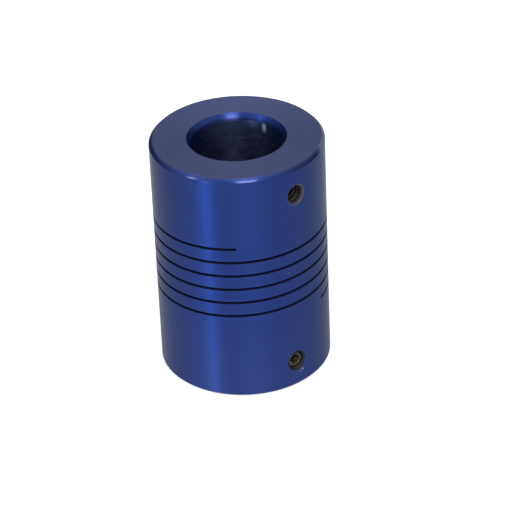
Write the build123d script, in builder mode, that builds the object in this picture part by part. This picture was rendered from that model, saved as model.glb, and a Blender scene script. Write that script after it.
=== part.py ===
from build123d import *
import os
from math import cos, sin, radians

os.makedirs("parts", exist_ok=True)

# Helical beam coupling, machined from one aluminium bar: two bored hubs joined
# by a helical beam, with one radial cup-point socket set screw in each hub.
# Millimetres and degrees. +Z along the coupling's axis, origin at its centre.
#
# The bar is one piece. It is divided here across the beam, on planes through
# the axis, at the places where its bending, stretch and wind-up are lumped.
#
# A station is an angle in degrees down the slit from its upper end. Seen from
# +Z, stations run clockwise.

# ---------------------------------------------------------------- dimensions
outer_r = 12.7              # 1 in outside diameter
length = 36.8
half = length / 2
bore_r = outer_r / 2        # 1/2 in bore in each hub
mouth_chamfer = 0.9         # 45 degree lead-in at each bore mouth
edge_chamfer = 0.5          # broken outer corner
relief_r = 6.6              # bore relief under the flexing part
relief_top = 7.6
relief_bottom = -6.6
relief_cone = 0.25          # height of the taper from relief to bore

# helical slit: one start, right-handed, cut right through the wall
slit_pitch = 2.25
slit_width = 0.4
slit_top_z = 7.05           # height of the slit's centre at its upper end
slit_top_angle = -93.7      # direction of its upper end
slit_sweep = 2094.0         # station of its lower end

# beam left between neighbouring turns of the slit
beam_height = slit_pitch - slit_width
beam_wide = outer_r - relief_r
beam_mid = (relief_r + outer_r) / 2

# cuts across the beam: station, and the angle left open there
bend_gap = 0.7              # 0.08 mm at the inner edge of the beam
wind_gap = 1.8              # leaves room for one degree of twist
cut_first = 180 + slit_top_angle    # on the -X side; the rest are whole quarter turns on
beam_cuts = (
    (cut_first, bend_gap),              # upper bend about X
    (cut_first + 5 * 90, bend_gap),     # upper bend about Y
    (cut_first + 9 * 90, bend_gap),     # axial flex
    (cut_first + 13 * 90, bend_gap),    # lower bend about Y
    (cut_first + 16 * 90, wind_gap),    # wind-up
    (cut_first + 18 * 90, bend_gap),    # lower bend about X
)

# cutting sections, reaching past both sides of the wall
cutter_in = 5.9
cutter_out = 13.4
cutter_mid = (cutter_in + cutter_out) / 2
cutter_wide = cutter_out - cutter_in
clear_height = 5.0          # of the section that clears a hub's beam side
ring_margin = 0.02          # extra ring height, cleared away with the rest
slit_overlap = 1            # degrees the slit runs into the cleared turn

# set screws: No. 6-32, 3/16 in long, 1/16 in hexagon socket, cup point
upper_screw_angle = -50.8   # the two hubs were drilled separately
lower_screw_angle = -54.6
screw_z = 13.95             # above and below the centre
upper_recess = 1.5          # how far the outer end sits below the surface
lower_recess = 0.42
tapped_r = 1.35             # plain holes at the thread's minor diameter
tapped_sink_r = 1.6
tapped_depth = outer_r - bore_r + 1
screw_r = 1.31
screw_length = 4.76
screw_end_chamfer = 0.25
screw_point_chamfer = 0.5
cup_r = 0.68
cup_depth = 0.4
socket_flats = 1.59
socket_depth = 2.1


# ---------------------------------------------------------------- helpers
def slit_z(station):
    """Height of the slit's centre at a station."""
    return slit_top_z - slit_pitch * station / 360


def axial_plane(station, z):
    """Upright plane through the axis at a station: x outwards, y upwards."""
    a = radians(slit_top_angle - station)
    return Plane(origin=(0, 0, z), x_dir=(cos(a), sin(a), 0), z_dir=(sin(a), -cos(a), 0))


def helix_up(low, high, z_low, radius):
    """Helix with the slit's lead, rising from station low to station high."""
    with BuildLine(Plane.XY.offset(z_low)) as rise:
        Helix(slit_pitch, slit_pitch * (low - high) / 360, radius)
    return rise.line.rotate(Axis.Z, slit_top_angle - low)


def radial_plane(angle, z, recess=0, facing=1):
    """Plane square to a screw: facing is 1 for a normal outwards, -1 for inwards."""
    a = radians(angle)
    r = outer_r - recess
    return Plane(origin=(r * cos(a), r * sin(a), z),
                 x_dir=(0, 0, 1), z_dir=(facing * cos(a), facing * sin(a), 0))


def screw_section_plane(angle, z, recess):
    """Upright plane along a screw: x runs inwards from its outer end."""
    a = radians(angle)
    r = outer_r - recess
    return Plane(origin=(r * cos(a), r * sin(a), z),
                 x_dir=(-cos(a), -sin(a), 0), z_dir=(-sin(a), cos(a), 0))


def save(part, name):
    """Label a piece and write its STEP file."""
    part.label = name
    export_step(part, f"parts/{name}.step")


# ---------------------------------------------------------------- hubs
def build_hub(side, beam_end, root_z, slit_low, slit_high, relief_z, screw_angle):
    """Ring with the root of the beam on its inner end; side is 1 above, -1 below.

    Everything beyond the slit's wall nearest the hub is cleared in two half-turn
    passes, starting at station beam_end, then the slit's end stretch is cut.
    root_z is the furthest height that the beam's root reaches.
    """
    clear_ends = (beam_end + 180, beam_end + 360)
    clear_paths = [helix_up(s, s - 180, slit_z(s), cutter_mid) for s in clear_ends]
    slit_path = helix_up(slit_low, slit_high, slit_z(slit_low), cutter_mid)
    ring_z = root_z - side * ring_margin

    with BuildPart() as hub:
        with BuildSketch(Plane.XZ):
            with BuildLine():
                Polyline(
                    (relief_r, ring_z),
                    (outer_r, ring_z),
                    (outer_r, side * (half - edge_chamfer)),
                    (outer_r - edge_chamfer, side * half),
                    (bore_r + mouth_chamfer, side * half),
                    (bore_r, side * (half - mouth_chamfer)),
                    (bore_r, relief_z + side * relief_cone),
                    (relief_r, relief_z),
                    close=True,
                )
            make_face()
        revolve(axis=Axis.Z)
        for clear_end, clear_path in zip(clear_ends, clear_paths):
            with BuildSketch(axial_plane(clear_end, slit_z(clear_end))) as clearing:
                with Locations((cutter_mid, side * (slit_width - clear_height) / 2)):
                    Rectangle(cutter_wide, clear_height)
            sweep(sections=clearing.sketch, path=clear_path, is_frenet=True, mode=Mode.SUBTRACT)
        with BuildSketch(axial_plane(slit_low, slit_z(slit_low))) as slit:
            with Locations((cutter_mid, 0)):
                Rectangle(cutter_wide, slit_width)
        sweep(sections=slit.sketch, path=slit_path, is_frenet=True, mode=Mode.SUBTRACT)
        with Locations(radial_plane(screw_angle, side * screw_z)):
            CounterSinkHole(tapped_r, tapped_sink_r, depth=tapped_depth, counter_sink_angle=90)
    return hub.part


upper_end = beam_cuts[0][0] - bend_gap / 2
upper_hub = build_hub(
    side=1,
    beam_end=upper_end,
    root_z=slit_z(upper_end + 360) + slit_width / 2,
    slit_low=upper_end + slit_overlap,
    slit_high=0,
    relief_z=relief_top,
    screw_angle=upper_screw_angle,
)
save(upper_hub, "upper_hub")

lower_end = beam_cuts[-1][0] + bend_gap / 2
lower_hub = build_hub(
    side=-1,
    beam_end=lower_end,
    root_z=slit_z(lower_end) - slit_width / 2,
    slit_low=slit_sweep,
    slit_high=lower_end + 360 - slit_overlap,
    relief_z=relief_bottom,
    screw_angle=lower_screw_angle,
)
save(lower_hub, "lower_hub")


# ---------------------------------------------------------------- beam coils
def build_coil(top, end):
    """The beam's rectangular section swept along the helix between two stations."""
    end_z = slit_z(end) - slit_pitch / 2    # the beam lies half a pitch below the slit
    path = helix_up(end, top, end_z, beam_mid)
    with BuildPart() as coil:
        with BuildSketch(axial_plane(end, end_z)) as section:
            with Locations((beam_mid, 0)):
                Rectangle(beam_wide, beam_height)
        sweep(sections=section.sketch, path=path, is_frenet=True)
    return coil.part


# One coil from each cut to the next one down, numbered from the top.
for number, (cut_above, cut_below) in enumerate(zip(beam_cuts, beam_cuts[1:]), start=1):
    top_station, top_gap = cut_above
    end_station, end_gap = cut_below
    beam_coil = build_coil(top_station + top_gap / 2, end_station - end_gap / 2)
    save(beam_coil, f"beam_coil_{number}")


# ---------------------------------------------------------------- set screws
# half-profile, (distance in from the outer end, radius): end, flank, point, cup
screw_profile = (
    (0, 0),
    (0, screw_r - screw_end_chamfer),
    (screw_end_chamfer, screw_r),
    (screw_length - screw_point_chamfer, screw_r),
    (screw_length, screw_r - screw_point_chamfer),
    (screw_length, cup_r),
    (screw_length - cup_depth, 0),
)


def build_screw(angle, z, recess):
    """Set screw pointing at the axis, its hexagon socket in the outer end."""
    section_plane = screw_section_plane(angle, z, recess)
    with BuildPart() as screw:
        with BuildSketch(section_plane):
            with BuildLine():
                Polyline(*screw_profile, close=True)
            make_face()
        revolve(axis=Axis(section_plane.origin, section_plane.x_dir))
        with BuildSketch(radial_plane(angle, z, recess, facing=-1)):
            RegularPolygon(socket_flats / 2, 6, major_radius=False)
        extrude(amount=socket_depth, mode=Mode.SUBTRACT)
    return screw.part


save(build_screw(upper_screw_angle, screw_z, upper_recess), "upper_set_screw")
save(build_screw(lower_screw_angle, -screw_z, lower_recess), "lower_set_screw")
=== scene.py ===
import math

import bmesh
import bpy
import numpy as np
from mathutils import Matrix, Vector


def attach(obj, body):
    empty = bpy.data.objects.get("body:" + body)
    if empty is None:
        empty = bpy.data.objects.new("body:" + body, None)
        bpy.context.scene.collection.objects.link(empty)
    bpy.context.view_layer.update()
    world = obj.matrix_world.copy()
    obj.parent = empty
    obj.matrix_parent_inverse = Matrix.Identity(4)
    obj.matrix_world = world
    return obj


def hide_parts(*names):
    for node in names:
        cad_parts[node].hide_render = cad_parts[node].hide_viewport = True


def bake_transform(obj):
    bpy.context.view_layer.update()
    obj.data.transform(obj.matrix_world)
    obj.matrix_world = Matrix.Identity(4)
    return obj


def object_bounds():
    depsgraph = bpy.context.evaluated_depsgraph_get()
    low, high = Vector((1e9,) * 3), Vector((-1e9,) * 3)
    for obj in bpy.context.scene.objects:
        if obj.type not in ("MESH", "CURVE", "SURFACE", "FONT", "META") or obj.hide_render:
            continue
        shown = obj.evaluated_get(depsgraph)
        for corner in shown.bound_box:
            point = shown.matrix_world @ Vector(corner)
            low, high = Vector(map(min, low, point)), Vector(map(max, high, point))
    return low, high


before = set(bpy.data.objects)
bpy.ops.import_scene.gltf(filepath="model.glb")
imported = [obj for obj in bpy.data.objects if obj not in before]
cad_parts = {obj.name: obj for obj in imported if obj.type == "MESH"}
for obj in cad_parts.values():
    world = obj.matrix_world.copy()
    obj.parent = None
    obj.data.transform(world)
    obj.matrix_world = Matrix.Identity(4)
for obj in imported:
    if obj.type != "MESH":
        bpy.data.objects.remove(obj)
cad_lo, cad_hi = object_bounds()

# ------------------------------------------------------------------ dimensions
# Millimetres and degrees. Meshes are written in metres.
MM = 0.001
OUTER_R = round((cad_hi.x - cad_lo.x) / 2 / MM, 3)
HALF_LENGTH = round((cad_hi.z - cad_lo.z) / 2 / MM, 3)
BORE_R = 6.35
RELIEF_R = 6.6              # wider bore under the beam
MID_R = (OUTER_R + RELIEF_R) / 2
CHAMFER = 0.5               # outer edge of an end face
MOUTH = 0.9                 # chamfer of the bore's mouth
CHAMFER_EXTRA = 0.03        # added to both chamfers, whose edges are rounded

# The slit runs down from its upper blind end as the angle falls. A station is the
# number of degrees travelled from that end.
PITCH = 2.25
SLIT = 0.4
SLIT_TOP_Z = 7.05
SLIT_TOP_ANGLE = -93.7
SLIT_SWEEP = 2094.0
BEAM_SWEEP = SLIT_SWEEP - 360.0
BEAM_HALF = (PITCH - SLIT) / 2
EDGE = 0.02                 # deburred slit edges
EDGE_RUN_OUT = 4.0          # degrees over which an edge grows from the blind end

# The beam bends at joints, which lie whole quarter turns below the first cut.
FIRST_CUT = 86.3
LAST_QUARTER = 18
BEND_SWEEP = 80.0
BLEND_R = RELIEF_R - 0.15   # radius from which a bend's straight reach is worked out

# Tapped holes and set screws
SCREW_Z = 13.95
SCREW_R = 1.31
SCREW_LENGTH = 4.76
HOLE_R = 1.35
SINK_R = 1.64               # countersink
THREAD = 0.794              # thread pitch
THREAD_ROWS = 10            # rows of vertices per thread
UPPER_ANGLE = -50.8
LOWER_ANGLE = -54.6
UPPER_RECESS = 1.5
LOWER_RECESS = 0.42

# Mesh divisions
COLUMN_STEP = 1.5           # degrees
PATCH_CELLS = 24            # along each side of the square patch round a tapped hole
BORDER = 4 * PATCH_CELLS
PATCH_SPAN = 36.0           # degrees
PATCH_HALF = 2.7            # half height
SCREW_COLUMNS = 96
WELD = 2e-6                 # metres

# Kinds of surface, stored on the faces
PLAIN, OUTER, BORE, RELIEF, TOP, BOTTOM = range(6)


def cut_station(quarter):
    return FIRST_CUT + 90 * quarter


def slit_z(station):
    return SLIT_TOP_Z - PITCH * station / 360.0


def beam_z(station):
    return slit_z(station) - PITCH / 2


# --------------------------------------------------------------- mesh building
def polar(radius, angle, z):
    angle = np.radians(angle)
    parts = np.broadcast_arrays(radius * np.cos(angle), radius * np.sin(angle), z)
    return np.stack(parts, axis=-1)


def tangent_at(angle):
    angle = math.radians(angle)
    return np.array([-math.sin(angle), math.cos(angle), 0.0])


def radial_frame(angle, face_radius, height):
    """A function that places points by side, rise and depth about a radial axis."""
    turn = math.radians(angle)
    outward = np.array([math.cos(turn), math.sin(turn), 0.0])
    tangent = tangent_at(angle)
    up = np.array([0.0, 0.0, 1.0])

    def place(side, rise, depth):
        side, rise, depth = np.broadcast_arrays(side, rise, depth)
        return ((face_radius - depth)[:, None] * outward + side[:, None] * tangent
                + (rise + height)[:, None] * up)

    return place


def fetch(items, field, width, kind):
    """One field of a mesh collection, as an array with a row for each item."""
    values = np.zeros(len(items) * width, kind)
    items.foreach_get(field, values)
    return values.reshape(-1, width)


class MeshBuilder:
    """Collects points in millimetres and faces, then welds them into one mesh."""

    def __init__(self):
        self.points = []
        self.faces = []
        self.surfaces = []

    def add_points(self, points):
        """Adds an array of points and returns the array of their indices."""
        points = np.asarray(points, float)
        first = len(self.points)
        self.points.extend(map(tuple, points.reshape(-1, 3).tolist()))
        return first + np.arange(points.size // 3).reshape(points.shape[:-1])

    def face(self, corners, surface=PLAIN):
        self.faces.append(tuple(int(i) for i in corners))
        self.surfaces.append(surface)

    def grid(self, points, closed=False, flip=False, surface=PLAIN, skip=None):
        """points is (rows, columns, 3). closed joins the last column to the first."""
        index = self.add_points(points)
        rows, columns = index.shape
        for i in range(rows - 1):
            for j in range(columns if closed else columns - 1):
                if skip is not None and skip(i, j):
                    continue
                k = (j + 1) % columns
                quad = (index[i, j], index[i, k], index[i + 1, k], index[i + 1, j])
                self.face(quad[::-1] if flip else quad, surface)
        return index

    def sweep_beam(self, angles, centre_z, top_inset, split_top):
        """Side faces of the beam. split_top adds a point midway across its top."""
        profile = [(MID_R, -BEAM_HALF),
                   (OUTER_R - EDGE, -BEAM_HALF),
                   (OUTER_R, -BEAM_HALF + EDGE),
                   (OUTER_R, BEAM_HALF - top_inset),
                   (OUTER_R - top_inset, BEAM_HALF),
                   (RELIEF_R + top_inset, BEAM_HALF),
                   (RELIEF_R, BEAM_HALF - top_inset),
                   (RELIEF_R, -BEAM_HALF + EDGE),
                   (RELIEF_R + EDGE, -BEAM_HALF)]
        if split_top:
            profile.insert(5, (MID_R, BEAM_HALF))
        surfaces = [PLAIN] * len(profile)
        surfaces[2] = OUTER
        surfaces[-3] = RELIEF
        index = self.add_points(np.array(
            [polar(radius, angles, centre_z + rise) for radius, rise in profile]))
        for i, surface in enumerate(surfaces):
            k = (i + 1) % len(profile)
            for j in range(len(angles) - 1):
                self.face((index[i, j], index[i, j + 1], index[k, j + 1], index[k, j]), surface)
        return index

    def to_mesh(self, name, turned_over):
        points = np.array(self.points, float)
        if turned_over:
            # half a turn about X
            points = points * (1.0, -1.0, -1.0)
        mesh = bpy.data.meshes.new(name)
        mesh.from_pydata((points * MM).tolist(), [], self.faces)
        layer = mesh.attributes.new("surface", "INT", "FACE")
        layer.data.foreach_set("value", np.array(self.surfaces, np.int32))
        bm = bmesh.new()
        bm.from_mesh(mesh)
        bmesh.ops.remove_doubles(bm, verts=bm.verts, dist=WELD)
        bmesh.ops.dissolve_degenerate(bm, edges=bm.edges, dist=WELD * 0.2)
        bmesh.ops.recalc_face_normals(bm, faces=bm.faces)
        bm.to_mesh(mesh)
        bm.free()
        return mesh

    def to_object(self, name, sharp_angle=28.0, turned_over=False):
        """Smooth shading, sharp edges by angle, and exact normals on turned faces."""
        mesh = self.to_mesh(name, turned_over)
        ob = bpy.data.objects.new(name, mesh)
        bpy.context.scene.collection.objects.link(ob)
        mesh.polygons.foreach_set("use_smooth", [True] * len(mesh.polygons))
        mesh.set_sharp_from_angle(angle=math.radians(sharp_angle))
        mesh.update()
        normals = fetch(mesh.corner_normals, "vector", 3, np.float32).astype(float)
        vertex = fetch(mesh.loops, "vertex_index", 1, np.int32)[:, 0]
        corners = fetch(mesh.vertices, "co", 3, np.float32).astype(float)[vertex]
        kinds = fetch(mesh.attributes["surface"].data, "value", 1, np.int32)[:, 0]
        counts = fetch(mesh.polygons, "loop_total", 1, np.int32)[:, 0]
        kinds = np.repeat(kinds, counts)
        # the small addend avoids dividing by zero on the axis
        radius = np.hypot(corners[:, 0], corners[:, 1])[:, None] + 1e-12
        radial = np.concatenate([corners[:, :2] / radius, np.zeros((len(corners), 1))], axis=1)
        inner = (kinds == BORE) | (kinds == RELIEF)
        normals[kinds == OUTER] = radial[kinds == OUTER]
        normals[inner] = -radial[inner]
        normals[kinds == TOP] = (0, 0, 1)
        normals[kinds == BOTTOM] = (0, 0, -1)
        mesh.normals_split_custom_set(normals.tolist())
        return ob


def thread_form(turns):
    """Thread form between 0 at the root and 1 at the crest, with narrow flats."""
    flat = 0.12
    height = np.abs(((turns % 1.0) * 2.0) - 1.0)
    height = np.clip((height - flat) / (1 - 2 * flat), 0, 1)
    return height * height * (3 - 2 * height)


# ------------------------------------------------------------------------ hubs
class Hub:
    """A hub built with its end face at +Z. Columns run round it from the slit's
    blind end, as the angle falls."""

    def __init__(self, slit_angle, blind_z, root_sweep, screw_angle, relief_z, end_surface):
        self.slit_angle = slit_angle
        self.blind_z = blind_z
        self.screw_angle = screw_angle
        self.relief_z = relief_z            # top of the relieved bore
        self.ring_z = relief_z + 0.4        # first flat row on the outside
        self.body = MeshBuilder()
        self.hole = MeshBuilder()

        patch_centre = (slit_angle - screw_angle) % 360.0
        patch_start = patch_centre - PATCH_SPAN / 2
        patch_end = patch_centre + PATCH_SPAN / 2
        self.patch_column = round(patch_start / COLUMN_STEP)
        columns_after = round((360.0 - patch_end) / COLUMN_STEP)
        stations = np.concatenate([
            np.linspace(0.0, patch_start, self.patch_column + 1),
            np.linspace(patch_start, patch_end, PATCH_CELLS + 1)[1:],
            np.linspace(patch_end, 360.0, columns_after + 1)[1:]])
        self.angles = slit_angle - stations
        self.slit_edge_z = blind_z - PITCH * stations / 360.0 + SLIT / 2
        self.inset = EDGE * np.clip(stations / EDGE_RUN_OUT, 0, 1)

        self.skirt(OUTER_R, self.ring_z, OUTER)
        self.skirt(RELIEF_R, relief_z, RELIEF)
        self.slit_walls()
        self.beam_root(root_sweep)
        outer = self.outer_wall()
        self.end_face(end_surface)
        bore = self.bore_wall()
        self.tapped_hole(outer, bore)

    def turned(self, profile, surface=PLAIN, patch_row=None):
        """Turns (radius, z) pairs round the hub, with a gap for the hole's patch
        where patch_row gives the patch's first row."""

        def in_patch(i, j):
            return (patch_row is not None and patch_row <= i < patch_row + PATCH_CELLS
                    and self.patch_column <= j < self.patch_column + PATCH_CELLS)

        rows = np.array([polar(radius, self.angles, z) for radius, z in profile])
        return self.body.grid(rows, surface=surface, skip=in_patch)

    def skirt(self, radius, top_z, surface):
        """Wall between the slit's upper edge and the first flat row."""
        # levels on the last column, where the blind end meets the wall
        levels = np.array([self.slit_edge_z[-1] + EDGE, self.blind_z - SLIT / 2,
                           self.blind_z + SLIT / 2, top_z])
        share = (levels - levels[0]) / (levels[-1] - levels[0])
        base = self.slit_edge_z + self.inset
        z = base[None, :] + (levels[-1] - base)[None, :] * share[:, None]
        index = self.body.grid(polar(radius, self.angles[None, 1:], z[:, 1:]),
                               flip=surface == RELIEF, surface=surface)
        first = self.body.add_points([polar(radius, self.angles[0], self.slit_edge_z[0]),
                                      polar(radius, self.angles[0], top_z)])
        self.body.face([first[0], *index[:, 0], first[1]], surface)

    def slit_walls(self):
        """The slit's upper wall with its deburred edges, and its blind end."""
        z, inset = self.slit_edge_z, self.inset
        self.turned([(OUTER_R, z + inset), (OUTER_R - inset, z), (MID_R, z),
                     (RELIEF_R + inset, z), (RELIEF_R, z + inset)])
        low, high = self.blind_z - SLIT / 2, self.blind_z + SLIT / 2
        corners = ((OUTER_R, low), (OUTER_R, high), (MID_R, high),
                   (RELIEF_R, high), (RELIEF_R, low))
        self.body.face(self.body.add_points(
            [polar(radius, self.angles[0], z) for radius, z in corners]))

    def beam_root(self, sweep):
        """The part of the beam that belongs to the hub."""
        stations = np.linspace(0, sweep, round(sweep / COLUMN_STEP) + 1)
        centre_z = self.blind_z - PITCH * stations / 360.0 - PITCH / 2
        inset = EDGE * np.clip(stations / EDGE_RUN_OUT, 0, 1)
        index = self.body.sweep_beam(self.slit_angle - stations, centre_z, inset,
                                     split_top=False)
        self.body.face(index[:, -1])

    def outer_wall(self):
        """Returns the index grid of the patch's border, as the bore's wall does."""
        low, high = SCREW_Z - PATCH_HALF, SCREW_Z + PATCH_HALF
        wall_top = HALF_LENGTH - CHAMFER - 2 * CHAMFER_EXTRA
        heights = [*np.linspace(self.ring_z, low, 4),
                   *np.linspace(low, high, PATCH_CELLS + 1)[1:],
                   *np.linspace(high, wall_top, 3)[1:]]
        index = self.turned([(OUTER_R, z) for z in heights], OUTER, patch_row=3)
        return self.patch_border(index, 3)

    def end_face(self, surface):
        """Chamfer, flat ring and the bore's mouth, with rounded edges between."""
        chamfer = CHAMFER + CHAMFER_EXTRA
        mouth = MOUTH + CHAMFER_EXTRA
        chamfer_r, chamfer_z = OUTER_R - chamfer, HALF_LENGTH - chamfer
        mouth_r, mouth_z = BORE_R + mouth, HALF_LENGTH - mouth
        self.turned([(OUTER_R, chamfer_z - 0.03), (OUTER_R - 0.012, chamfer_z + 0.02),
                     (OUTER_R - 0.04, chamfer_z + 0.055),
                     (chamfer_r + 0.055, HALF_LENGTH - 0.04),
                     (chamfer_r - 0.02, HALF_LENGTH - 0.012),
                     (chamfer_r - 0.07, HALF_LENGTH)])
        flat = (chamfer_r - 0.07, chamfer_r - 0.25, OUTER_R - 1.6, (OUTER_R + BORE_R) / 2,
                BORE_R + 1.6, mouth_r + 0.2, mouth_r + 0.05)
        self.turned([(radius, HALF_LENGTH) for radius in flat], surface)
        self.turned([(mouth_r + 0.05, HALF_LENGTH), (mouth_r - 0.01, HALF_LENGTH - 0.012),
                     (mouth_r - 0.07, HALF_LENGTH - 0.055), (BORE_R + 0.05, mouth_z + 0.065),
                     (BORE_R + 0.012, mouth_z + 0.01), (BORE_R, mouth_z - 0.05)])

    def bore_wall(self):
        """From the mouth down, then the cone to the relieved bore."""
        low, high = SCREW_Z - PATCH_HALF, SCREW_Z + PATCH_HALF
        wall_top = HALF_LENGTH - MOUTH - CHAMFER_EXTRA - 0.05
        wall_end = self.relief_z + 0.25
        heights = [*np.linspace(wall_top, high, 2),
                   *np.linspace(high, low, PATCH_CELLS + 1)[1:],
                   *np.linspace(low, wall_end, 4)[1:]]
        index = self.turned([(BORE_R, z) for z in heights], BORE, patch_row=1)
        self.turned([(BORE_R, wall_end), (RELIEF_R, self.relief_z)])
        return self.patch_border(index, 1)

    def patch_border(self, index, row):
        """Side and rise, from the hole's axis, of the points round a patch's border."""
        column = self.patch_column
        size = PATCH_CELLS
        border = [index[row, column + k] for k in range(size)]
        border += [index[row + k, column + size] for k in range(size)]
        border += [index[row + size, column + size - k] for k in range(size)]
        border += [index[row + size - k, column] for k in range(size)]
        points = np.array(self.body.points)[border]
        side = points @ tangent_at(self.screw_angle)
        return np.stack([side, points[:, 2] - SCREW_Z], axis=1)

    def tapped_hole(self, outer_border, bore_border):
        """Patches on both walls, and the countersink and thread between them."""
        place = radial_frame(self.screw_angle, OUTER_R, SCREW_Z)
        # from the outer border's first corner, in the border's direction
        turn = -math.pi / 4 - 2 * math.pi * np.arange(BORDER) / BORDER
        cos, sin = np.cos(turn), np.sin(turn)

        def circle(radius):
            return np.stack([radius * cos, radius * sin], axis=1)

        def on_wall(flat, wall_radius, sunk=0.0):
            depth = OUTER_R - np.sqrt(wall_radius ** 2 - flat[:, 0] ** 2) + sunk
            return place(flat[:, 0], flat[:, 1], depth)

        # radius at which the countersink's cone meets the curved outer wall
        rim_radius = np.full(BORDER, SINK_R)
        for _ in range(12):
            rim_radius = SINK_R - (OUTER_R - np.sqrt(OUTER_R ** 2 - (rim_radius * cos) ** 2))
        rim = circle(rim_radius)
        patch = [on_wall(outer_border * (1 - t) + rim * 1.045 * t, OUTER_R)
                 for t in (0.0, 0.3, 0.55, 0.75, 0.9)]
        patch.append(on_wall(rim * 1.03, OUTER_R))
        self.body.grid(np.array(patch), closed=True, surface=OUTER)

        flare = 0.06                        # widening of the throat
        throat = HOLE_R + flare
        start = SINK_R - throat
        sink = [patch[-1],
                on_wall(rim * 1.01, OUTER_R, sunk=0.006),
                on_wall(rim * 0.985, OUTER_R, sunk=0.03),
                place(throat * cos, throat * sin, start)]
        self.hole.grid(np.array(sink), closed=True)

        # threads, fading in and out at their ends
        end = 5.95
        groove_depth, flare_end, fade_in, fade_out = 0.11, 0.08, 0.5, 0.4
        tube = []
        rows = round((end - start) / (THREAD / THREAD_ROWS))
        for depth in np.linspace(start, end, rows + 1):
            fade = min(1.0, (depth - start) / fade_in) * min(1.0, (end - depth) / fade_out)
            groove = 1.0 - thread_form(depth / THREAD - turn / (2 * math.pi))
            widening = flare * (1 - min(1.0, (depth - start) / flare_end))
            radius = HOLE_R + widening + groove_depth * fade * groove
            tube.append(place(radius * cos, radius * sin, depth))
        tube.append(on_wall(circle(HOLE_R), BORE_R))
        self.hole.grid(np.array(tube), closed=True)

        # the bore's border starts at the upper corner and runs the other way
        matching = (3 * PATCH_CELLS - np.arange(BORDER)) % BORDER
        opening = circle(HOLE_R)[matching]
        patch = [on_wall(bore_border * (1 - t) + opening * t, BORE_R)
                 for t in (0.0, 0.35, 0.7, 1.0)]
        self.body.grid(np.array(patch), closed=True, surface=BORE)


# ------------------------------------------------------------------------ beam
def build_beam(name, start, end):
    """The beam from one station down to another, closed at both ends."""
    builder = MeshBuilder()
    stations = np.linspace(start, end, math.ceil((end - start) / COLUMN_STEP) + 1)
    index = builder.sweep_beam(SLIT_TOP_ANGLE - stations, beam_z(stations), EDGE,
                               split_top=True)
    builder.face(index[::-1, 0])
    builder.face(index[:, -1])
    return builder.to_object(name)


def beam_point(station, distance):
    """Point at a distance down the beam's tangent from a station, in metres."""
    angle = math.radians(SLIT_TOP_ANGLE - station)
    outward = Vector((math.cos(angle), math.sin(angle), 0))
    tangent = Vector((math.sin(angle), -math.cos(angle), 0))
    return (outward * MID_R + tangent * distance + Vector((0, 0, beam_z(station)))) * MM


# ---------------------------------------------------------------------- screws
def build_screw(name, angle, height, recess):
    """Socket set screw: rolled thread, hexagon socket, cup point."""
    builder = MeshBuilder()
    place = radial_frame(angle, OUTER_R - recess, height)
    turn = 2 * math.pi * np.arange(SCREW_COLUMNS) / SCREW_COLUMNS
    cos, sin = np.cos(turn), np.sin(turn)

    def ring(radius, depth):
        return place(radius * cos, radius * sin, depth)

    # thread and point, from the outer end to the cup
    face_r = SCREW_R - 0.27
    thread_height = 0.2
    thread_start, thread_end = 0.2, SCREW_LENGTH - 0.45
    phase = 0.37
    tip = SCREW_R - 0.5
    body = [ring(face_r, 0.0), ring(SCREW_R - 0.24, 0.01), ring(SCREW_R - 0.2, 0.05)]
    rows = round((thread_end - thread_start) / (THREAD / THREAD_ROWS))
    for depth in np.linspace(thread_start, thread_end, rows + 1):
        crest = thread_form(depth / THREAD - turn / (2 * math.pi) + phase)
        radius = SCREW_R - thread_height + thread_height * crest
        # the ends taper
        limit = min(SCREW_R, SCREW_R - 0.25 + 1.35 * depth, tip + SCREW_LENGTH - depth)
        body.append(ring(np.minimum(radius, limit), depth))
    # radius, height above the tip
    point = ((tip + 0.2, 0.2), (tip + 0.03, 0.03), (tip, 0.0), (tip - 0.1, 0.0),
             (tip - 0.16, 0.03), (0.3, 0.3), (0.06, 0.4))
    body += [ring(radius, SCREW_LENGTH - rise) for radius, rise in point]
    index = builder.grid(np.array(body), closed=True)
    builder.face(index[-1])

    # outer face, conical lead-in, the hexagon's flats, and the drill point below
    half_flat = 1.59 / 2
    sector = (turn + math.radians(12)) % (math.pi / 3) - math.pi / 6
    hexagon = half_flat / np.cos(sector)
    socket_depth = 1.95
    lead_in_r = 0.955
    lead_in = 0.7 * (lead_in_r - hexagon)
    socket = [ring(face_r, 0.0), ring(lead_in_r + 0.03, 0.0), ring(lead_in_r, 0.005),
              ring(hexagon + 0.003, lead_in), ring(hexagon, lead_in + 0.02),
              ring(hexagon, 0.5), ring(hexagon, 1.2), ring(hexagon, socket_depth),
              ring(hexagon * 0.9, socket_depth + 0.02),
              ring(0.3, socket_depth + 0.25), ring(0.05, socket_depth + 0.36)]
    index = builder.grid(np.array(socket), closed=True)
    builder.face(index[-1, ::-1])
    return builder.to_object(name, sharp_angle=32.0)


# ---------------------------------------------------------------- shader graphs
def math_node(operation, swapped=False):
    """A Signal method that adds a math node."""

    def apply(self, other=None):
        terms = (other, self) if swapped else (self, other)
        inputs = {i: term for i, term in enumerate(terms) if term is not None}
        return self.graph.add("ShaderNodeMath", inputs, operation=operation)[0]

    return apply


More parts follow.
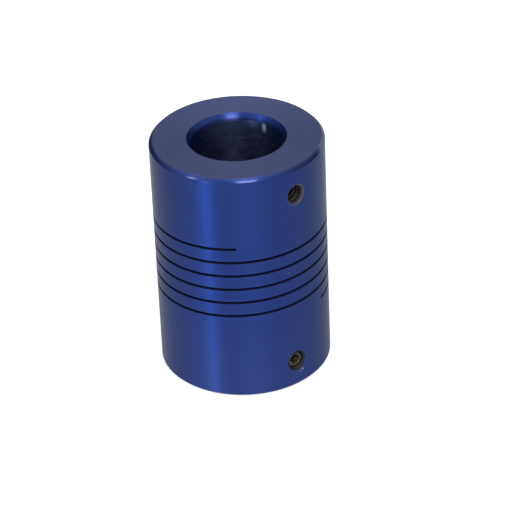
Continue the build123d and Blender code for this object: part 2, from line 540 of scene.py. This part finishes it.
class Signal:
    """A node's output. Arithmetic on it adds math nodes."""

    def __init__(self, graph, socket):
        self.graph = graph
        self.socket = socket

    __add__ = math_node("ADD")
    __sub__ = math_node("SUBTRACT")
    __rsub__ = math_node("SUBTRACT", swapped=True)
    __mul__ = math_node("MULTIPLY")
    __pow__ = math_node("POWER")
    __abs__ = math_node("ABSOLUTE")
    __lt__ = math_node("LESS_THAN")
    __gt__ = math_node("GREATER_THAN")
    larger = math_node("MAXIMUM")
    sqrt = math_node("SQRT")
    sin = math_node("SINE")
    cos = math_node("COSINE")
    arctan2 = math_node("ARCTAN2")

    def clamped(self):
        self.socket.node.use_clamp = True
        return self

    def rising(self, start, rate):
        """0 up to start, then climbing to 1."""
        return ((self - start) * rate).clamped()

    def falling(self, end, rate):
        """Falling to 0 at end."""
        return ((end - self) * rate).clamped()

    def fading(self, start, rate):
        """1 up to start, then falling to 0."""
        return (1.0 - (self - start) * rate).clamped()

    def shifted(self, by, rate):
        """Sum with by, times rate, kept within 0 and 1."""
        return ((self + by) * rate).clamped()

    def peak(self, centre, half_width):
        """1 at centre, falling evenly to 0 on both sides."""
        return (1.0 - abs(self - centre) * (1 / half_width)).clamped()


class Node:
    """A node whose outputs are read as signals by name or number."""

    def __init__(self, graph, node):
        self.graph = graph
        self.node = node

    def __getitem__(self, output):
        return Signal(self.graph, self.node.outputs[output])


class Graph:
    def __init__(self, tree):
        self.tree = tree

    def feed(self, socket, source):
        if isinstance(source, Signal):
            self.tree.links.new(source.socket, socket)
        elif socket.type == "RGBA":
            socket.default_value = (*source, 1)
        else:
            socket.default_value = source

    def add(self, kind, inputs=None, **settings):
        node = self.tree.nodes.new(kind)
        for name, setting in settings.items():
            setattr(node, name, setting)
        for key, source in (inputs or {}).items():
            self.feed(node.inputs[key], source)
        return Node(self, node)

    def split(self, vector):
        parts = self.add("ShaderNodeSeparateXYZ", {0: vector})
        return [parts[axis] for axis in range(3)]

    def noise(self, vector, scale, detail=2.0, roughness=0.5):
        return self.add("ShaderNodeTexNoise", {"Vector": vector, "Scale": scale,
                                               "Detail": detail, "Roughness": roughness})["Fac"]

    def ramp(self, factor, stops):
        """stops are (position, colour) pairs."""
        ramp = self.add("ShaderNodeValToRGB", {0: factor})
        elements = ramp.node.color_ramp.elements
        for element, (position, colour) in zip(elements, (stops[0], stops[-1])):
            element.position = position
            element.color = (*colour, 1)
        for position, colour in stops[1:-1]:
            elements.new(position).color = (*colour, 1)
        return ramp[0]

    def mix(self, amount, base, over):
        """Colour base, covered by colour over."""
        return self.add("ShaderNodeMix", {0: amount, 6: base, 7: over}, data_type="RGBA")[2]

    def bump(self, height, strength):
        return self.add("ShaderNodeBump", {"Strength": strength, "Distance": 0.00001,
                                           "Height": height})[0]

    def surface(self, shader):
        self.add("ShaderNodeOutputMaterial", {0: shader})


def new_material(name):
    material = bpy.data.materials.new(name)
    material.use_nodes = True
    material.node_tree.nodes.clear()
    return material, Graph(material.node_tree)


def distance(a, b):
    return (a * a + b * b).sqrt()


def side_of_axis(x, y, angle):
    """Sideways distance from the radial axis at an angle in degrees."""
    turn = math.radians(angle)
    return x * -math.sin(turn) + y * math.cos(turn)


# ------------------------------------------------------------------- materials
# Linear colours; lengths inside shaders are in metres.
BLACK, WHITE = (0, 0, 0), (1, 1, 1)
WALL_DARK, WALL_LIGHT = (0.008, 0.048, 0.300), (0.012, 0.058, 0.345)
WALL_LINES = (0.020, 0.080, 0.470)
WALL_MOTTLE = (0.018, 0.060, 0.305)
WALL_LOW_END = (0.034, 0.080, 0.360)
FACE_DARK, FACE_LIGHT = (0.124, 0.162, 0.410), (0.152, 0.194, 0.455)
# painted sheen for the back of the end faces
FACE_BACK_SHEEN = (0.192, 0.232, 0.550)
BORE_DARK, BORE_LIGHT = (0.050, 0.070, 0.150), (0.230, 0.260, 0.560)
BORE_ENTRY = (0.120, 0.170, 0.430)
MOUTH_DYE = (0.009, 0.048, 0.310)
MOUTH_INNER_DARK = (0.012, 0.024, 0.120)
MOUTH_RIM = (0.030, 0.060, 0.240)
# colour of a painted glint inside the upper bore
PAINTED_GLINT_DYE = (0.70, 0.90, 1.0)
# painted dark reflection and painted pale sheen on the upper rim
RIM_DARK_REFLECTION, RIM_PALE_SHEEN = (0.016, 0.026, 0.090), (0.21, 0.21, 0.33)
# painted shade on the slit edges
SLIT_EDGE_SHADE = (0.004, 0.010, 0.050)
# the nicks' colour is a painted glint
HOLE_RIM_DYE, NICK_GLINT_COLOUR = (0.080, 0.100, 0.240), (0.55, 0.68, 0.85)
SPECK_COLOUR = (0.42, 0.45, 0.55)

# Nicks by the lower hole, painted in a glint's bright colour: side and rise from its axis, and
# radius, in mm
LOWER_NICK_GLINTS = ((1.05, -1.86, 0.19), (0.48, -1.98, 0.12), (0.80, -2.28, 0.13))

# |normal z| that parts walls from chamfers, and chamfers from end faces
WALL_FACING, END_FACING = 0.35, 0.9


def wall_dye(g, z, fine, coarse, mottled):
    dye = g.mix(coarse * 0.55, base=WALL_DARK, over=WALL_LIGHT)
    lines = g.ramp(fine, stops=((0.36, BLACK), (0.66, WHITE)))
    dye = g.mix(lines * 0.35, base=dye, over=WALL_LINES)
    dye = g.mix(mottled * 0.35, base=dye, over=WALL_MOTTLE)
    # duller towards the lower end
    return g.mix(z.shifted(by=0.003, rate=-65.0), base=dye, over=WALL_LOW_END)


def bore_dye(g, fine, depth, painted_glint):
    """Dull, with fine marks round it, bluer in the first few millimetres, and with a painted
    glint near the mouth.
    """
    marks = g.ramp(fine, stops=((0.38, BLACK), (0.68, WHITE)))
    dye = g.mix(marks, base=BORE_DARK, over=BORE_LIGHT)
    entry = depth.fading(start=0.0014, rate=450.0)
    dye = g.mix(entry * 0.8, base=dye, over=BORE_ENTRY)
    return g.mix(painted_glint, base=dye, over=PAINTED_GLINT_DYE)


def mouth_dye(g, across_mouth, inner_mouth):
    """The mouth's chamfer: dull by the bore, and paler at its rim."""
    dye = g.mix(inner_mouth, base=MOUTH_DYE, over=MOUTH_INNER_DARK)
    rim = across_mouth.rising(start=0.80, rate=4.0)
    return g.mix(rim * 0.5, base=dye, over=MOUTH_RIM)


def hole_rim(g, dye, coords, nick_noise, angle, height, nick_glints):
    """Dye rubbed thin round a tapped hole, with any nicks beside it painted in a glint's bright
    colour.
    """
    x, y, z = coords
    turn = math.radians(angle)
    side = side_of_axis(x, y, angle)
    same_side = x * math.cos(turn) + y * math.sin(turn) > 0.009
    rise = z - height * MM
    near = distance(side, rise).fading(start=0.00160, rate=3000.0) * same_side
    dye = g.mix(near * 0.3, base=dye, over=HOLE_RIM_DYE)
    for nick_side, nick_rise, size in nick_glints:
        away = distance(side - nick_side * MM, rise - nick_rise * MM) + nick_noise * 0.0006
        nick_glint = away.falling(end=size * MM, rate=9000.0) * same_side
        dye = g.mix(nick_glint * 0.85, base=dye, over=NICK_GLINT_COLOUR)
    return dye


def anodised():
    """Blue anodised, lathe-turned aluminium."""
    material, g = new_material("anodised_blue")
    position = g.add("ShaderNodeTexCoord")["Object"]
    x, y, z = g.split(position)
    radius = distance(x, y)
    angle = y.arctan2(x)

    # Turning marks run round the axis: the weighted sum of radius and height
    # changes across them on walls, end faces and chamfers alike.
    across = radius * 1.37 + z
    around = 0.35                           # how far the marks vary round the axis
    turning = g.add("ShaderNodeCombineXYZ", {0: across * 1000.0, 1: angle.cos() * around,
                                             2: angle.sin() * around})[0]
    fine = g.noise(turning, scale=11.0, detail=3.0, roughness=0.65)
    coarse = g.noise(turning, scale=2.1, detail=2.0, roughness=0.5)
    mottled = g.noise(position, scale=260.0, detail=3.0, roughness=0.55)
    specks = g.noise(position, scale=1500.0, detail=1.0, roughness=0.4) > 0.835

    facing = abs(g.split(g.add("ShaderNodeNewGeometry")["Normal"])[2])
    end_face = facing ** 6.0
    inside = (radius < 0.0067) * (facing < WALL_FACING)
    depth = HALF_LENGTH * MM - abs(z)       # from the nearer end

    mouth = (radius < 0.0074) * (facing > WALL_FACING) * (facing < END_FACING)
    across_mouth = (radius - BORE_R * MM) * (1.0 / (MOUTH * MM))
    # the mouth's chamfer is darker on its inner part, next to the bore
    inner_mouth = across_mouth.falling(end=0.42, rate=5.0)
    # painted glint: a pale, less metallic spot just inside the upper mouth stands in for a
    # reflection
    glint_angle = angle.peak(centre=math.radians(50.2), half_width=math.radians(4.2))
    glint_depth = depth.peak(centre=0.00150, half_width=0.00095)
    painted_glint = glint_angle ** 0.7 * glint_depth ** 0.6 * (z > 0.0)

    dye = wall_dye(g, z, fine, coarse, mottled)
    dye = g.mix(inside, base=dye, over=bore_dye(g, fine, depth, painted_glint))
    dye = g.mix(mouth, base=dye, over=mouth_dye(g, across_mouth, inner_mouth))

    # painted light on the rim of the upper end face: a painted dark reflection on the right,
    # and a painted pale sheen further back
    rim = (radius > 0.01215) * (z > 0.01780) * (facing < END_FACING)
    rim_dark_reflection = rim * x.rising(start=0.0054, rate=350.0)
    rim_pale_sheen = y.shifted(by=0.0058, rate=420.0) * (rim * (x * 200.0).clamped())
    rim_dark_reflection = rim_dark_reflection * (1.0 - rim_pale_sheen)
    dye = g.mix(rim_dark_reflection * 0.5, base=dye, over=RIM_DARK_REFLECTION)
    dye = g.mix(rim_pale_sheen, base=dye, over=RIM_PALE_SHEEN)

    # painted shade: the deburred slit edges are painted near black, like the shaded slit, so
    # they show no highlight
    slit_edge_shade = (radius > 0.0120) * (abs(z) < 0.0100) * (facing > WALL_FACING)
    dye = g.mix(slit_edge_shade, base=dye, over=SLIT_EDGE_SHADE)

    nick_noise = g.noise(position, scale=3300.0, detail=2.0, roughness=0.6) - 0.5
    for hole_angle, height, nick_glints in ((UPPER_ANGLE, SCREW_Z, ()),
                                      (LOWER_ANGLE, -SCREW_Z, LOWER_NICK_GLINTS)):
        dye = hole_rim(g, dye, (x, y, z), nick_noise, hole_angle, height, nick_glints)

    # end faces are paler than the walls, and a painted sheen makes them palest at the back
    face_dye = g.mix(fine * 0.5, base=FACE_DARK, over=FACE_LIGHT)
    back = (y * 39.0 + 0.5).clamped()
    face_dye = g.mix(back, base=face_dye, over=FACE_BACK_SHEEN)
    colour = g.mix(end_face, base=dye, over=face_dye)
    colour = g.mix(specks * 0.3, base=colour, over=SPECK_COLOUR)

    # the painted glint and the painted pale sheen on the rim are less metallic, so the lamps
    # brighten them
    less_metal = (painted_glint * 0.65).larger(rim_pale_sheen * 0.85)
    # the clear seal is left off inside the bore, on the mouth's inner part and back right side
    # and on the slit edges, and thinned on the rest of the mouth and on the dark part of the
    # rim
    worn_side = angle.falling(end=1.38, rate=4.0) * (angle > 0.0)
    no_seal = (mouth * inner_mouth.larger(worn_side)).larger(mouth * 0.45)
    no_seal = inside.larger(no_seal).larger(slit_edge_shade.larger(rim_dark_reflection * 0.25))

    g.surface(g.add("ShaderNodeBsdfPrincipled", {
        "Base Color": colour,
        "Metallic": 1.0 - less_metal,
        "Specular Tint": (0.5, 0.5, 0.5),
        "Roughness": fine * 0.10 + 0.38 + mottled * 0.05 - (inside + mouth) * 0.06,
        "Anisotropic": 0.9 - end_face * 0.6 - inside * 0.15,
        "Anisotropic Rotation": 0.25,
        "Tangent": g.add("ShaderNodeTangent", direction_type="RADIAL", axis="Z")[0],
        "Normal": g.bump(fine, strength=0.45),
        "Coat Weight": (1.0 - no_seal) * 0.6,
        "Coat Roughness": mouth * 0.08 + 0.12,
    })[0])
    return material


def bare_aluminium():
    """Tapped hole: metal round its mouth, darker and browner deeper in as painted shade, and
    near black in the lower hub as painted shade.
    """
    material, g = new_material("bare_aluminium")
    position = g.add("ShaderNodeTexCoord")["Object"]
    x, y, z = g.split(position)
    radius = distance(x, y)
    grain = g.noise(position, scale=1800.0, detail=3.0, roughness=0.6)
    patches = g.noise(position, scale=700.0, detail=2.0, roughness=0.5)
    depth = 0.01245 - radius + patches * 0.0002
    metal = g.mix(grain * 0.7, base=(0.075, 0.078, 0.120), over=(0.140, 0.138, 0.190))
    # painted shade: deeper into the hole the metal turns darker and browner
    deep_shade = g.mix(grain * 0.7, base=(0.066, 0.054, 0.068), over=(0.106, 0.086, 0.104))
    # painted shade: in the lower hub, round the nearly flush screw, the metal is painted near
    # black
    metal = g.mix((z < 0.0) * 0.88, base=metal, over=(0.012, 0.014, 0.030))
    g.surface(g.add("ShaderNodeBsdfPrincipled", {
        "Base Color": g.mix((depth * 3600.0).clamped(), base=metal, over=deep_shade),
        "Metallic": 0.3,
        "Roughness": grain * 0.2 + 0.50,
        "Normal": g.bump(grain, strength=0.3),
    })[0])
    return material


def black_steel():
    """Black oxide on steel, rubbed to metal on edges, with grit in the lower socket."""
    material, g = new_material("black_oxide_steel")
    position = g.add("ShaderNodeTexCoord")["Object"]
    pointiness = g.add("ShaderNodeNewGeometry")["Pointiness"]
    grain = g.noise(position, scale=2600.0, detail=3.0, roughness=0.6)
    patches = g.noise(position, scale=900.0, detail=2.0, roughness=0.6)
    edge = pointiness.rising(start=0.5, rate=9.0)
    worn = (edge * (patches * 1.2 + 0.1)).clamped()
    colour = g.mix(grain * 0.6, base=(0.030, 0.028, 0.028), over=(0.085, 0.075, 0.066))
    colour = g.mix(worn * 0.5, base=colour, over=(0.26, 0.25, 0.25))

    # distance from the lower screw's axis
    x, y, z = g.split(position)
    away = distance(side_of_axis(x, y, LOWER_ANGLE), z + SCREW_Z * MM)
    packed = away.falling(end=0.00100, rate=5000.0) * (z < 0.0)
    grit = g.ramp(g.noise(position, scale=4300.0, detail=3.0, roughness=0.7),
                  stops=((0.42, (0.030, 0.024, 0.024)),
                         (0.55, (0.095, 0.075, 0.062)),
                         (0.66, (0.75, 0.62, 0.48))))
    crumbs = g.noise(position, scale=5200.0, detail=2.0, roughness=0.6)
    crumbs = crumbs.rising(start=0.54, rate=10.0) * (away < 0.00112)
    colour = g.mix(crumbs * 0.7, base=colour, over=(0.26, 0.225, 0.18))
    g.surface(g.add("ShaderNodeBsdfPrincipled", {
        "Base Color": g.mix(packed, base=colour, over=grit),
        "Metallic": 0.6 - packed * 0.55,
        "Roughness": grain * 0.22 + 0.42,
        "Normal": g.bump(grain, strength=0.3),
    })[0])
    return material


blue = anodised()
bare = bare_aluminium()
steel = black_steel()


# ---------------------------------------------------------------------- pieces
def place_hub(side, turned_over, **shape):
    """The hub, and its countersink and thread as a second object."""
    hub = Hub(**shape, end_surface=BOTTOM if turned_over else TOP)
    body = hub.body.to_object(side + "_hub_turned", turned_over=turned_over)
    hole = hub.hole.to_object(side + "_tapped_hole", turned_over=turned_over)
    return side, body, hole


# The lower hub is built the other way up, so its angles and heights change sign.
hubs = [
    place_hub("upper", turned_over=False, slit_angle=SLIT_TOP_ANGLE, blind_z=SLIT_TOP_Z,
              root_sweep=FIRST_CUT, screw_angle=UPPER_ANGLE, relief_z=7.6),
    place_hub("lower", turned_over=True, slit_angle=(SLIT_SWEEP - SLIT_TOP_ANGLE) % 360.0,
              blind_z=-slit_z(SLIT_SWEEP), root_sweep=BEAM_SWEEP - cut_station(LAST_QUARTER),
              screw_angle=-LOWER_ANGLE, relief_z=6.6),
]
for side, body, hole in hubs:
    body.data.materials.append(blue)
    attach(body, side + "_hub_body")
    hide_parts(side + "_hub")
    hole.data.materials.append(bare)
    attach(hole, side + "_hub_body")

# joint, its cut in quarter turns, the body above it, the body below it
JOINTS = (
    ("upper_bend_x", 0, "upper_hub_body", "beam_1"),
    ("upper_bend_y", 5, "beam_1", "beam_2"),
    ("axial_flex", 9, "beam_2", "beam_3"),
    ("lower_bend_y", 13, "beam_3", "beam_4"),
    ("wind_up", 16, "beam_4", "beam_5"),
    ("lower_bend_x", LAST_QUARTER, "beam_5", "lower_hub_body"),
)
bend_reach = BLEND_R * math.sin(math.radians(BEND_SWEEP))
zones = []
for joint, quarter, above, below in JOINTS:
    cut = cut_station(quarter)
    # the bend lies below its cut, except at the last, where it lies above
    if quarter == LAST_QUARTER:
        zone = (cut - BEND_SWEEP, cut)
        reach = (-bend_reach, 0.0)
    else:
        zone = (cut, cut + BEND_SWEEP)
        reach = (0.0, bend_reach)
    zones.append(zone)
    bend = build_beam("beam_" + joint, *zone)
    bend.data.materials.append(blue)
    beam_point(cut, reach[0])
    beam_point(cut, reach[1])
    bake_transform(bend)

# rigid runs between neighbouring bends
for number, (zone, next_zone) in enumerate(zip(zones[:-1], zones[1:]), start=1):
    node = f"beam_coil_{number}"
    run = build_beam(node + "_run", zone[1], next_zone[0])
    run.data.materials.append(blue)
    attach(run, f"beam_{number}")
    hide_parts(node)

for side, angle, height, recess in (("upper", UPPER_ANGLE, SCREW_Z, UPPER_RECESS),
                                    ("lower", LOWER_ANGLE, -SCREW_Z, LOWER_RECESS)):
    screw = build_screw(side + "_set_screw_threaded", angle, height, recess)
    screw.data.materials.append(steel)
    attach(screw, side + "_screw")
    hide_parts(side + "_set_screw")


# ----------------------------------------------------------------------- stage
def floor_white():
    """White with a glow for the camera. It is clear from below, and to light that
    reaches the end face just above it, so the part's underside can be seen."""
    material, g = new_material("floor_white")
    path = g.add("ShaderNodeLightPath")
    diffuse = g.add("ShaderNodeBsdfDiffuse", {"Color": (0.9, 0.9, 0.9)})[0]
    glow = g.add("ShaderNodeEmission", {"Strength": path["Is Camera Ray"] * 0.72})[0]
    white = g.add("ShaderNodeAddShader", {0: diffuse, 1: glow})[0]
    clear = g.add("ShaderNodeBsdfTransparent")[0]
    close = path["Ray Length"] < 0.00006
    see_through = g.add("ShaderNodeNewGeometry")["Backfacing"].larger(close)
    g.surface(g.add("ShaderNodeMixShader", {0: see_through, 1: white, 2: clear})[0])
    return material


def build_floor():
    half_size = 3
    floor_z = cad_lo.z - 0.00002            # a hair under the lower end face
    corners = [(x * half_size, y * half_size, floor_z)
               for x, y in ((-1, -1), (1, -1), (1, 1), (-1, 1))]
    mesh = bpy.data.meshes.new("floor")
    mesh.from_pydata(corners, [], [(0, 1, 2, 3)])
    floor = bpy.data.objects.new("floor", mesh)
    bpy.context.scene.collection.objects.link(floor)
    mesh.materials.append(floor_white())


def build_world():
    """White to the camera. The part is lit by a dimmer, even studio, which is dark
    low down behind it."""
    ambient = 0.49
    darkening = 0.85
    world = bpy.data.worlds.new("studio")
    bpy.context.scene.world = world
    world.use_nodes = True
    g = Graph(world.node_tree)
    background = world.node_tree.nodes["Background"]
    _, y, z = g.split(g.add("ShaderNodeTexCoord")["Generated"])
    low_down = z.falling(end=0.56, rate=6.5)
    behind = y.shifted(by=0.35, rate=2.5)
    studio_light = (1.0 - low_down * behind * darkening) * ambient
    camera_ray = g.add("ShaderNodeLightPath")["Is Camera Ray"]
    strength = g.add("ShaderNodeMix", {0: camera_ray, 2: studio_light, 3: 1.0})[0]
    g.feed(background.inputs[0], (1.0, 1.0, 1.0))
    g.feed(background.inputs[1], strength)


def softbox(name, azimuth, elevation, size, radiance, away=0.5):
    """A lamp facing the part. Angles in degrees, lengths in metres."""
    lamp = bpy.data.lights.new(name, "AREA")
    lamp.shape = "RECTANGLE"
    lamp.size, lamp.size_y = size
    lamp.energy = radiance * math.pi * size[0] * size[1]
    ob = bpy.data.objects.new(name, lamp)
    bpy.context.scene.collection.objects.link(ob)
    azimuth, elevation = math.radians(azimuth), math.radians(elevation)
    location = Vector((math.cos(elevation) * math.cos(azimuth),
                       math.cos(elevation) * math.sin(azimuth),
                       math.sin(elevation))) * away
    ob.location = location
    ob.rotation_mode = "QUATERNION"
    ob.rotation_quaternion = (-location).to_track_quat("-Z", "Y")


def build_camera():
    """A long lens in front of the part and above it."""
    elevation = math.radians(31.60)
    roll = math.radians(2.65)
    away = 0.374                            # metres from the origin
    # where the origin lies in the camera's own axes: a little left and up
    origin_in_view = Vector((-0.005689743, 0.004314591, -1.0))

    data = bpy.data.cameras.new("view")
    camera = bpy.data.objects.new("view", data)
    bpy.context.scene.collection.objects.link(camera)
    off_centre = Vector((0.0, 0.0, -1.0)).rotation_difference(origin_in_view)
    location = Vector((0.0, -math.cos(elevation), math.sin(elevation))) * away
    camera.matrix_world = (Matrix.Translation(location)
                           @ Matrix.Rotation(math.pi / 2 - elevation, 4, "X")
                           @ Matrix.Rotation(-roll, 4, "Z")
                           @ off_centre.inverted().to_matrix().to_4x4())
    data.sensor_width = 36.0
    data.lens = 178.44609
    data.clip_start = 0.01
    data.clip_end = 50
    bpy.context.scene.camera = camera


build_floor()
build_world()
softbox("front", azimuth=-77.0, elevation=57.0, size=(0.15, 0.14), radiance=9.0)
softbox("left_low", azimuth=-131.5, elevation=7.0, size=(0.055, 0.09), radiance=25.0)
softbox("left_high", azimuth=-161.0, elevation=46.0, size=(0.07, 0.07), radiance=11.0)
build_camera()
bpy.context.scene.view_settings.view_transform = "Standard"
